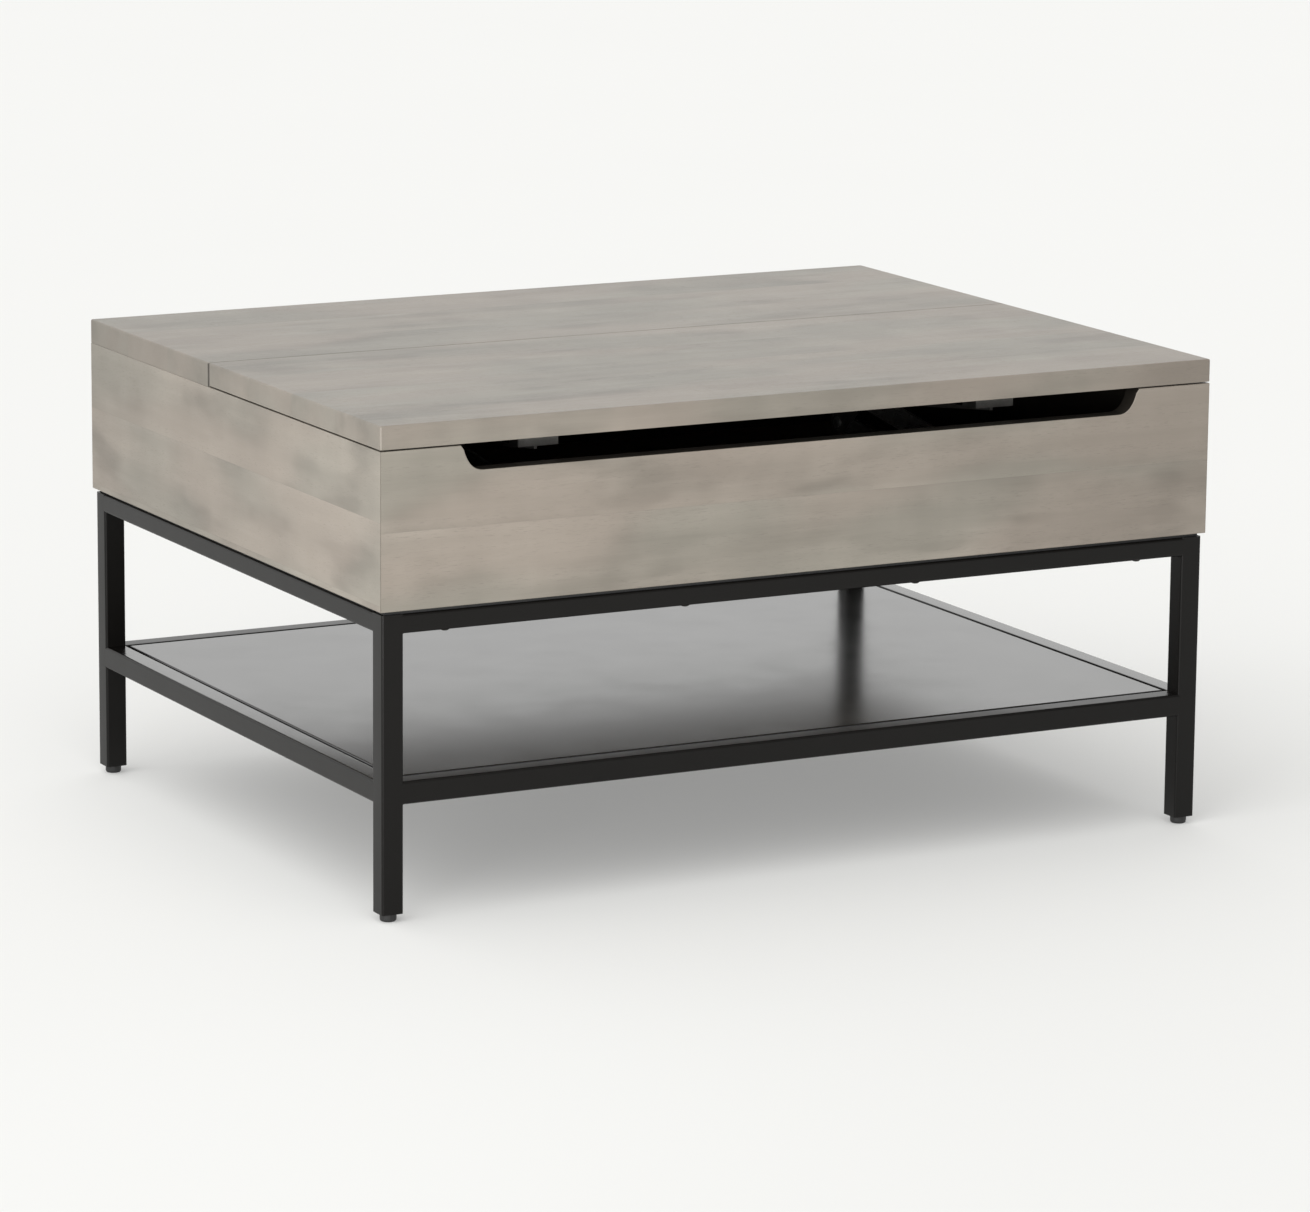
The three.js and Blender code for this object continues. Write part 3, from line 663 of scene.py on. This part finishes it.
def build_foot(corner, plastic, zinc):
    """A levelling glide with a soft sole edge and grip notches, and its stud, whose thread is a
    stack of rings."""
    low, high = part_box(f"levelling_foot_{corner}")
    centre = ((low.x + high.x) / 2, (low.y + high.y) / 2, low.z)
    rim = (high.x - low.x) / 2
    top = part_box(f"leg_{corner}")[0].z - low.z - 0.3 * MM
    body = f"foot_{corner}"
    profile = [
        (0.0, 0.0),
        (rim - 2.1 * MM, 0.0),
        (rim - 1.3 * MM, 0.2 * MM),
        (rim - 0.5 * MM, 0.9 * MM),
        (rim - 0.1 * MM, 2.0 * MM),
        (rim, 3.2 * MM),
        (rim, top - 0.7 * MM),
        (rim - 0.7 * MM, top),
        (4.3 * MM, top),
        (4.0 * MM, top),
        (0.0, top),
    ]
    grip = lambda level, angle: 1 - 0.03 * (5 <= level <= 6) * (math.cos(angle * 16) > 0.2)
    glide = turned(profile, centre, "z", steps=64, shape=grip)
    as_piece(f"foot_glide_{corner}", glide, plastic, body, [f"levelling_foot_{corner}"])
    stud_top = high.z - low.z
    thread = [(0.0, top - 1.0 * MM), (STUD_ROOT, top - 1.0 * MM)]
    height = top - 0.5 * MM
    while height < stud_top - STUD_PITCH:
        thread += [(STUD_ROOT, height), (STUD_CREST, height + STUD_PITCH * 0.5)]
        height += STUD_PITCH
    thread += [(STUD_ROOT, stud_top - 0.4 * MM), (2.7 * MM, stud_top), (0.0, stud_top)]
    as_piece(f"foot_stud_{corner}", turned(thread, centre, "z", steps=28), zinc, body, sharp=20)


def build_frame_screws(socket_head):
    """Button head screws up through the rails into the box. Only those of the front rail are nodes."""
    rail_low, rail_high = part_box("top_rail_front")
    seat = rail_low.z
    centre_y = (rail_low.y + rail_high.y) / 2
    for number in range(1, 5):
        node = f"frame_screw_{number}"
        low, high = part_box(node)
        x = (low.x + high.x) / 2
        radius = (high.x - low.x) / 2
        height = seat - low.z
        bm = screw_head((x, centre_y, seat), "z", -1, radius, height, "hex")
        shank = [(0.0, 0.0), (2.4 * MM, 0.0), (2.4 * MM, high.z - seat), (0.0, high.z - seat)]
        turned(shank, (x, centre_y, seat), "z", steps=20, bm=bm)
        as_piece(f"box_screw_front_{number}", bm, socket_head, "root", [node])
        rear = screw_head((x, -centre_y, seat), "z", -1, radius, height, "hex")
        as_piece(f"box_screw_rear_{number}", rear, socket_head, "root")
    side_low, side_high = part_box("top_rail_right")
    for side, sign in SIDES.items():
        for number, y in enumerate(SIDE_SCREWS_AT, 1):
            x = sign * (side_low.x + side_high.x) / 2
            bm = screw_head((x, y, seat), "z", -1, 4.8 * MM, 2.7 * MM, "hex")
            as_piece(f"box_screw_{side}_{number}", bm, socket_head, "root")


def build_shelf(gloss, coat):
    """A sheet metal pan with a soft bend all round and a turned-down hem."""
    low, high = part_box("shelf_panel")
    bend = 1.8 * MM
    sheet = 1.5 * MM
    bm = block(low, high, bend, segments=5, chosen=lambda e: max(v.co.z for v in e.verts) > high.z - MM)
    under = [f for f in bm.faces if f.calc_center_median().z < low.z + 0.01 * MM]
    bmesh.ops.delete(bm, geom=under, context="FACES")
    pan = as_piece("shelf_pan", bm, gloss, "root", ["shelf_panel"])
    thick = pan.modifiers.new("sheet", "SOLIDIFY")
    thick.thickness = sheet
    thick.offset = -1.0
    pan.modifiers.move(pan.modifiers.find("sheet"), 0)
    for end in ENDS:
        dress(f"shelf_ledge_{end}", coat, 0.4 * MM)


# ------------------------------------------------------------------ wooden box and top

ARRIS = 0.8 * MM
TOP_ARRIS = 1.8 * MM
MEETING_ARRIS = 0.5 * MM
SLOT_HALF = 368 * MM
SLOT_DEPTH = 24 * MM
SLOT_CORNER = 20 * MM
SLOT_SLANT = 3 * MM
SLOT_FACES_FROM = 100 * MM
CORNER_ZONE = 50 * MM
NEAR = 0.1 * MM


def slot_curve(low_x, high_x, low_z, high_z, corner, slant, steps=10):
    """The finger slot's edge from its upper left, along its flat bottom, to its upper right."""
    start = Vector((low_x, high_z))
    wall_end = Vector((low_x + slant, low_z + corner))
    flat_start = Vector((low_x + slant + corner, low_z))
    pull = Vector((low_x + slant + corner * 0.28, low_z))
    left = [start]
    for i in range(steps + 1):
        t = i / steps
        left.append(wall_end * (1 - t) ** 2 + pull * 2 * t * (1 - t) + flat_start * t**2)
    right = [Vector((low_x + high_x - p.x, p.y)) for p in reversed(left)]
    return left + right


def wall_mesh(low, high, axis, outward, notch=()):
    """A wall with mitred ends and eased outer edges. axis is the way it runs, outward the sign of its
    outer face, and notch the slot's edge in (along, up)."""
    run = 0 if axis == "x" else 1
    face = 1 - run
    thick = high[face] - low[face]
    outer = high[face] if outward > 0 else low[face]
    inner = outer - outward * thick
    outline = [(low[run], low.z), (high[run], low.z), (high[run], high.z)]
    outline += [(p.x, p.y) for p in reversed(notch)] if notch else []
    outline += [(low[run], high.z)]
    bm = bmesh.new()
    rings = []
    for level, mitre in ((outer, 0.0), (inner, thick)):
        ring = []
        for a, z in outline:
            inset = mitre if a <= low[run] + NEAR else -mitre if a >= high[run] - NEAR else 0.0
            point = Vector((0, 0, z))
            point[run] = a + inset
            point[face] = level
            ring.append(bm.verts.new(point))
        rings.append(ring)
    bm.faces.new(rings[0])
    bm.faces.new(rings[1][::-1])
    bridge(bm, rings[0], rings[1])
    bmesh.ops.recalc_face_normals(bm, faces=bm.faces)
    on_outer = lambda e: all(abs(v.co[face] - outer) < 1e-6 for v in e.verts)
    clear_low, clear_high = low[run] + CORNER_ZONE, high[run] - CORNER_ZONE
    in_notch = lambda e: notch and all(clear_low < v.co[run] < clear_high for v in e.verts)
    eased = lambda e: (on_outer(e) or in_notch(e)) and e.calc_face_angle(0) > math.radians(60)
    bevel_edges(bm, ARRIS, 4, eased)
    return bm


def build_box(front_wood, side_wood, near_black_inside, inside_board):
    """Four mitred walls with near-black inner faces and slot faces, and the board that closes the bottom. The
    front wall has the finger slot."""
    low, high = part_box("front_panel")
    notch = slot_curve(-SLOT_HALF, SLOT_HALF, high.z - SLOT_DEPTH, high.z, SLOT_CORNER, SLOT_SLANT)
    front = wall_mesh(low, high, "x", -1, notch)
    wall = as_piece("front_wall", front, front_wood, "root", ["front_panel"])
    in_slot = lambda f: abs(f.center.x) < SLOT_HALF + MM and low.z + SLOT_FACES_FROM < f.center.z < high.z - MM
    refinish(wall, near_black_inside, lambda f: f.normal.y > 0.7 or (in_slot(f) and abs(f.normal.y) < 0.3))
    rear = wall_mesh(*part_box("rear_panel"), "x", 1)
    wall = as_piece("rear_wall", rear, front_wood, "root", ["rear_panel"])
    refinish(wall, near_black_inside, lambda f: f.normal.y < -0.7)
    for side, sign in SIDES.items():
        low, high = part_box(f"{side}_panel")
        mesh = wall_mesh(low, high, "y", sign)
        wall = as_piece(f"{side}_wall", mesh, side_wood, "root", [f"{side}_panel"])
        refinish(wall, near_black_inside, lambda f: f.normal.x * sign < -0.7)
    dress("bottom_panel", inside_board, 0.5 * MM)


def build_shadow_strip(strip_black):
    """A thin black strip set back in the gap between the frame and the box: painted shade for the shadow line
    under the box.
    """
    set_back = Vector((SHADOW_STRIP_SETBACK, SHADOW_STRIP_SETBACK, 0))
    left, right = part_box("top_rail_left"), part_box("top_rail_right")
    bm = bmesh.new()
    for name in (*ENDS, *SIDES):
        low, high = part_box(f"top_rail_{name}")
        low, high = Vector(low), Vector(high)
        if name in ENDS:
            low.x, high.x = left[0].x, right[1].x
        low.z = high.z - SHADOW_GAP - 0.2 * MM
        block(low + set_back, high - set_back, 0.2 * MM, bm=bm)
    as_piece("shadow_gap_strip", bm, strip_black, "root")


def build_tops(top_wood, lid_wood, batten_wood):
    """The fixed rear board and the lifting front board, their rail and their battens."""
    for node, name, body, wood, seam in (
        ("fixed_top", "rear_top_board", "root", top_wood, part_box("fixed_top")[0].y),
        ("lift_top", "lifting_board", "lift_top", lid_wood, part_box("lift_top")[1].y),
    ):
        low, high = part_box(node)
        under = lambda e: all(v.co.z < low.z + NEAR for v in e.verts)
        at_seam = lambda e: all(abs(v.co.y - seam) < NEAR for v in e.verts)
        board = block(low, high, TOP_ARRIS, 4, lambda e: not under(e) and not at_seam(e))
        bevel_edges(board, MEETING_ARRIS, 2, lambda e: under(e) or at_seam(e))
        as_piece(name, board, wood, body, [node])
    low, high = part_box("support_rail")
    as_piece("edge_rail", block(low, high, 1.5 * MM), batten_wood["x"], "root", ["support_rail"])
    for side in SIDES:
        low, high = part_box(f"lid_batten_{side}")
        batten = block(low, high, 2.5 * MM, 4)
        as_piece(f"batten_{side}", batten, batten_wood["y"], "lift_top", [f"lid_batten_{side}"])


def build_bumpers(rubber):
    """Domed rubber dots on the box's top edge."""
    for end in ENDS:
        for side in SIDES:
            node = f"bumper_{end}_{side}"
            low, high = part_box(node)
            radius = (high.x - low.x) / 2
            height = high.z - low.z
            profile = [
                (0.0, 0.0),
                (radius, 0.0),
                (radius, height * 0.45),
                (radius * 0.94, height * 0.75),
                (radius * 0.8, height * 0.95),
                (radius * 0.5, height),
                (0.0, height),
            ]
            base = ((low.x + high.x) / 2, (low.y + high.y) / 2, low.z)
            bm = turned(profile, base, "z", steps=28)
            as_piece(f"rubber_dot_{end}_{side}", bm, rubber, "root", [node])


# ------------------------------------------------------------------ lift mechanism

RIVET_SHANK = 4.0 * MM
RIVET_HEAD = 2.4 * MM
SPRING_WIRE = 1.1 * MM
SPRING_TURNS = 46
SPRING_POST = 2.5 * MM
POST_TO_NODE = 2.8 * MM
LOOP_REACH = 7.5 * MM
FLANGE = 2.5 * MM
FLOOR_SCREWS_AT = (22 * MM, 98 * MM, 174 * MM)
LID_SCREWS_AT = (32 * MM, 158 * MM, 284 * MM)
FLOOR_SCREW_INSET = 16.5 * MM
LID_SCREW_OFF_CENTRE = 13 * MM


def build_mechanism(zinc, arm_zinc, spring_steel, coat, screw_steel):
    """The pressed steel linkages, their rivets, springs, screws and the tube between them."""
    for side in SIDES:
        dress(f"base_bracket_{side}", zinc, 0.5 * MM)
        dress(f"top_bracket_{side}", zinc, 0.5 * MM)
        dress(f"main_arm_{side}", arm_zinc, 0.6 * MM)
        dress(f"follower_arm_{side}", arm_zinc, 0.6 * MM)
        for pin, body in (
            ("main_base_pin", "root"),
            ("follower_base_pin", "root"),
            ("main_top_pin", "lift_top"),
            ("follower_top_pin", "lift_top"),
        ):
            build_rivet(f"{pin}_{side}", body, arm_zinc)
        build_spring(side, spring_steel)
        build_bracket_screws(side, screw_steel)
    low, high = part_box("cross_tube")
    centre = (low + high) / 2
    radius = (high.z - low.z) / 2
    length = high.x - low.x
    bore = radius - TUBE_WALL
    profile = [
        (bore, 0.0),
        (radius - 0.4 * MM, 0.0),
        (radius, 0.4 * MM),
        (radius, length - 0.4 * MM),
        (radius - 0.4 * MM, length),
        (bore, length),
        (bore, 0.0),
    ]
    tube = turned(profile, (low.x, centre.y, centre.z), "x", steps=40)
    bmesh.ops.remove_doubles(tube, verts=tube.verts, dist=1e-6)
    as_piece("linking_tube", tube, coat, "lift_arms", ["cross_tube"])


def build_rivet(node, body, zinc):
    """A pivot rivet: two domed heads and the shank between them."""
    low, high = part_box(node)
    centre = (low + high) / 2
    width = high.x - low.x
    head = (high.z - low.z) / 2
    dome = [
        (0.0, 0.0),
        (head * 0.30, 0.02 * MM),
        (head * 0.62, 0.25 * MM),
        (head * 0.86, 0.8 * MM),
        (head, 1.5 * MM),
        (head, RIVET_HEAD),
        (RIVET_SHANK, RIVET_HEAD),
    ]
    half = dome + [(RIVET_SHANK, width / 2 - 0.4 * MM)]
    profile = half + [(r, width - h) for r, h in reversed(half)]
    bm = turned(profile, (low.x, centre.y, centre.z), "x", steps=36)
    as_piece(f"{node}_rivet", bm, zinc, body, [node])


def build_spring(side, steel):
    """An extension spring between the arm's lever post and the bracket's post, with a loop round each.
    The coil keeps its rest length: the travel and the share of its length to keep are worked out, but nothing
    shortens it."""
    node = f"lift_spring_{side}"
    low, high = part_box(node)
    x = (low.x + high.x) / 2
    z = (low.z + high.z) / 2
    front, rear = low.y - POST_TO_NODE, high.y + POST_TO_NODE
    coil = (high.z - low.z) / 2 - SPRING_WIRE
    loop = SPRING_POST + SPRING_WIRE + 0.15 * MM
    for name, y, body in (("front", front, "lift_arms"), ("rear", rear, "root")):
        section = [2 * math.pi * i / 10 for i in range(11)]
        outline = [(loop + SPRING_WIRE * math.cos(a), SPRING_WIRE * math.sin(a)) for a in section]
        ring = turned(outline, (x, y, z), "x", steps=30)
        bmesh.ops.remove_doubles(ring, verts=ring.verts, dist=1e-6)
        as_piece(f"spring_loop_{name}_{side}", ring, steel, body, sharp=80)
    front_loop, rear_loop = front + loop, rear - loop
    first, last = front_loop + LOOP_REACH, rear_loop - LOOP_REACH
    steps = SPRING_TURNS * 20
    path = [(x, front_loop, z), (x, front_loop + 2.5 * MM, z)]
    for i in range(steps + 1):
        share = i / steps
        angle = 2 * math.pi * SPRING_TURNS * share - math.pi / 2
        turns_in = SPRING_TURNS * min(share, 1 - share)
        radius = coil * min(1.0, 1.2 * turns_in + 0.25)
        y = first + (last - first) * share
        path.append((x + radius * math.cos(angle), y, z + radius * math.sin(angle)))
    path += [(x, rear_loop - 2.5 * MM, z), (x, rear_loop, z)]
    coiled = swept(path, SPRING_WIRE, sides=8)
    spring = as_piece(f"extension_spring_{side}", coiled, steel, "root", [node], sharp=80)
    pivot = joint_at["lift"]
    arm = Vector((front - pivot.y, z - pivot.z))
    travel = pivot.y + arm.x * math.cos(lift_angle) - arm.y * math.sin(lift_angle) - front
    keep = (rear_loop - front_loop - travel) / (rear_loop - front_loop)
    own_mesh(spring)


def build_bracket_screws(side, steel):
    """Wood screws through both bracket flanges and up through the battens into the top."""
    sign = SIDES[side]
    low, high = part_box(f"base_bracket_{side}")
    outer = high.x if sign > 0 else low.x
    base = bmesh.new()
    for along in FLOOR_SCREWS_AT:
        at = (outer - sign * FLOOR_SCREW_INSET, low.y + along, low.z + FLANGE)
        screw_head(at, "z", 1, 5.2 * MM, 2.6 * MM, "cross", bm=base)
    as_piece(f"floor_screws_{side}", base, steel, "root")
    low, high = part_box(f"top_bracket_{side}")
    middle = (low.x + high.x) / 2
    top = bmesh.new()
    for along in LID_SCREWS_AT:
        for dx in (-LID_SCREW_OFF_CENTRE, LID_SCREW_OFF_CENTRE):
            at = (middle + dx, low.y + along, high.z - FLANGE)
            screw_head(at, "z", -1, 4.8 * MM, 2.2 * MM, "cross", bm=top)
    as_piece(f"lid_screws_{side}", top, steel, "lift_top")


# ------------------------------------------------------------------ the whole table


def light_sky():
    """A pale sky that brightens smoothly towards each of its glows."""
    world = bpy.data.worlds.new("studio")
    bpy.context.scene.world = world
    sky = Nodes(world)
    outward = sky.node("TexCoord", output="Generated")
    strength = SKY_BASE
    for toward, dark_at, bright_at, glow in SKY_GLOWS:
        inputs = {0: outward, 1: Vector(toward).normalized()}
        facing = sky.node("VectorMath", {"operation": "DOT_PRODUCT"}, inputs, output="Value")
        strength = strength + facing.above((dark_at + bright_at) / 2, bright_at - dark_at) * glow
    background = sky.node("Background", inputs={"Color": SKY_COLOUR, "Strength": strength})
    sky.node("OutputWorld", inputs={"Surface": background})


def build_stage():
    """A wide pale floor under the sky, and one soft light close to the front left corner."""
    bm = bmesh.new()
    bmesh.ops.create_grid(bm, x_segments=1, y_segments=1, size=FLOOR_SIZE / 2)
    mesh = bpy.data.meshes.new("floor")
    bm.to_mesh(mesh)
    bm.free()
    mesh.materials.append(studio_floor())
    floor = bpy.data.objects.new("floor", mesh)
    bpy.context.scene.collection.objects.link(floor)
    light_sky()
    add_area_light(
        "corner_softbox", CORNER_LIGHT_AT, CORNER_LIGHT_TARGET, CORNER_LIGHT_SIZE, CORNER_POWER, CORNER_SPREAD
    )


set_camera()
build_stage()
bpy.context.scene.view_settings.view_transform = "Standard"

black = powder_coat("black_powder_coat", 0.33, 0.05 * MM)
shelf_black = powder_coat("shelf_gloss_coat", 0.19, 0.01 * MM, gloss=0.76)
plastic_black = moulded("black_moulding", 0.016, 0.5, 2500.0, 0.04 * MM)
rubber_black = moulded("rubber", 0.02, 0.8, 3500.0, 0.03 * MM)
bracket_zinc = zinc_plate("bracket_zinc", (0.30, 0.29, 0.275), 0.44, "y")
arm_zinc = zinc_plate("arm_zinc", (0.66, 0.67, 0.66), 0.30, "y")
stud_zinc = zinc_plate("stud_zinc", (0.60, 0.61, 0.61), 0.28, "z")
spring_wire = zinc_plate("spring_wire", (0.42, 0.43, 0.44), 0.26, "y")
socket_black = powder_coat("blackened_screw", 0.34, 0.01 * MM, shade=0.02)

front_wood = washed_wood("front_wood", "x", "z", 3.0, lane_start=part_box("front_panel")[0].z - 4 * MM)
side_wood = washed_wood("side_wood", "y", "z", 8.0, lane_start=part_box("left_panel")[0].z + 6 * MM)
top_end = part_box("lift_top")[1].x
top_joint = (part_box("lift_top")[1].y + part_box("fixed_top")[0].y) / 2
# The top boards' colours are scaled by 0.95 and 0.96: painted shade that darkens the top against the sides.
top_wood = washed_wood("top_wood", "x", "y", 14.0, 0.100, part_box("fixed_top")[0].y, 0.95, top_end, top_joint)
lid_wood = washed_wood("lid_wood", "x", "y", 23.0, 0.098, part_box("lift_top")[0].y, 0.96, top_end, top_joint)
# Near-black wood for the walls' inner faces and the slot's faces.
near_black_inside = washed_wood("near_black_inside", "x", "z", 3.0, colour_scale=0.08, gloss=0.05)
batten_woods = {
    "x": washed_wood("rail_wood", "x", "z", 31.0, lane_width=0.2),
    "y": washed_wood("batten_wood", "y", "x", 36.0, lane_width=0.2),
}

build_frame(black, shelf_black, plastic_black, stud_zinc, socket_black)
build_shelf(shelf_black, black)
build_box(front_wood, side_wood, near_black_inside, stained_plywood())
build_shadow_strip(rubber_black)
build_tops(top_wood, lid_wood, batten_woods)
build_bumpers(rubber_black)
build_mechanism(bracket_zinc, arm_zinc, spring_wire, black, stud_zinc)
